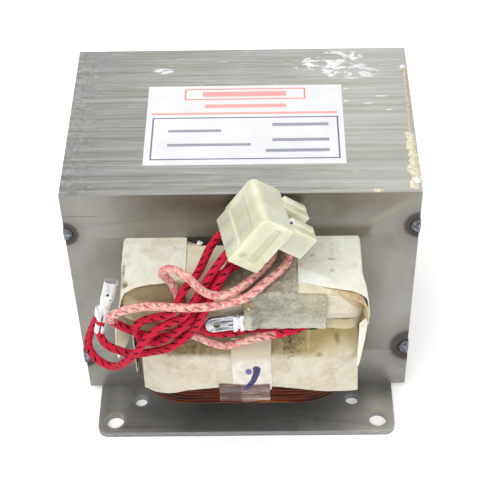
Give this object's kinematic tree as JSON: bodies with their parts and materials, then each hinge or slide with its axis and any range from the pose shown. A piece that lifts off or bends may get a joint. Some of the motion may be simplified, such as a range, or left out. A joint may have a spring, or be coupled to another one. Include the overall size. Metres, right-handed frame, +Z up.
{
  "type": "high voltage transformer",
  "caption": "Welded E-I core transformer on a base plate, with a copper primary, a paper wrapped high voltage secondary, shunts and loose braided filament leads.",
  "frame": {"origin": "centre of the base plate's underside", "axes": "+Z up from the base plate to the label, +X to the right across the core's width, and the side with the leads and the high voltage tab faces -Y"},
  "size_m": [0.1058, 0.1331, 0.0979],
  "materials": {
    "plate_steel": "satin, oiled",
    "core_steel": "varnished lamination steel, satin",
    "weld": "oxidised weld bead",
    "board": "matt",
    "copper": "enamelled copper wire under varnish, gloss",
    "paper": "matt, varnish stained",
    "braid": "braided sleeve, red with dark tracers",
    "enamelled_wire": "enamelled wire, gloss",
    "soaked_paper": "varnish soaked, satin",
    "soaked_board": "varnish soaked, satin",
    "tinned_brass": "tinned, semi-bright",
    "white_tape": "satin",
    "clear_tape": "satin",
    "fibre_board": "pressed fibre, matt",
    "label": "satin film",
    "nylon": "natural nylon, satin"
  },
  "bodies": {
    "root": {"base_plate": "plate_steel", "i_laminations": "core_steel", "e_laminations": "core_steel", "joint_weld_left": "weld", "joint_weld_right": "weld", "upper_weld_left": "weld", "upper_weld_right": "weld", "plate_welds": "weld", "primary_former": "board", "primary_coil": "copper", "primary_liner_left": "paper", "primary_liner_right": "paper", "primary_front_sheet": "paper", "primary_back_sheet": "paper", "left_shunt": "core_steel", "right_shunt": "core_steel", "filament_winding": "braid", "secondary_former": "board", "secondary_coil": "enamelled_wire", "secondary_front_sheet": "soaked_paper", "secondary_back_sheet": "soaked_paper", "top_sheet_front": "paper", "top_sheet_back": "paper", "left_slot_liner": "paper", "right_slot_liner": "paper", "hv_pad": "soaked_board", "hv_tab": "tinned_brass", "white_tape": "white_tape", "clear_tape": "clear_tape", "primary_terminal_board": "fibre_board", "primary_tab_left": "tinned_brass", "primary_tab_right": "tinned_brass", "ground_tag": "tinned_brass", "label": "label", "connector_housing": "nylon", "connector_terminals": "tinned_brass", "receptacle": "tinned_brass", "lead_a": "braid", "lead_b": "braid", "jumper": "braid"}
  },
  "joints": []
}
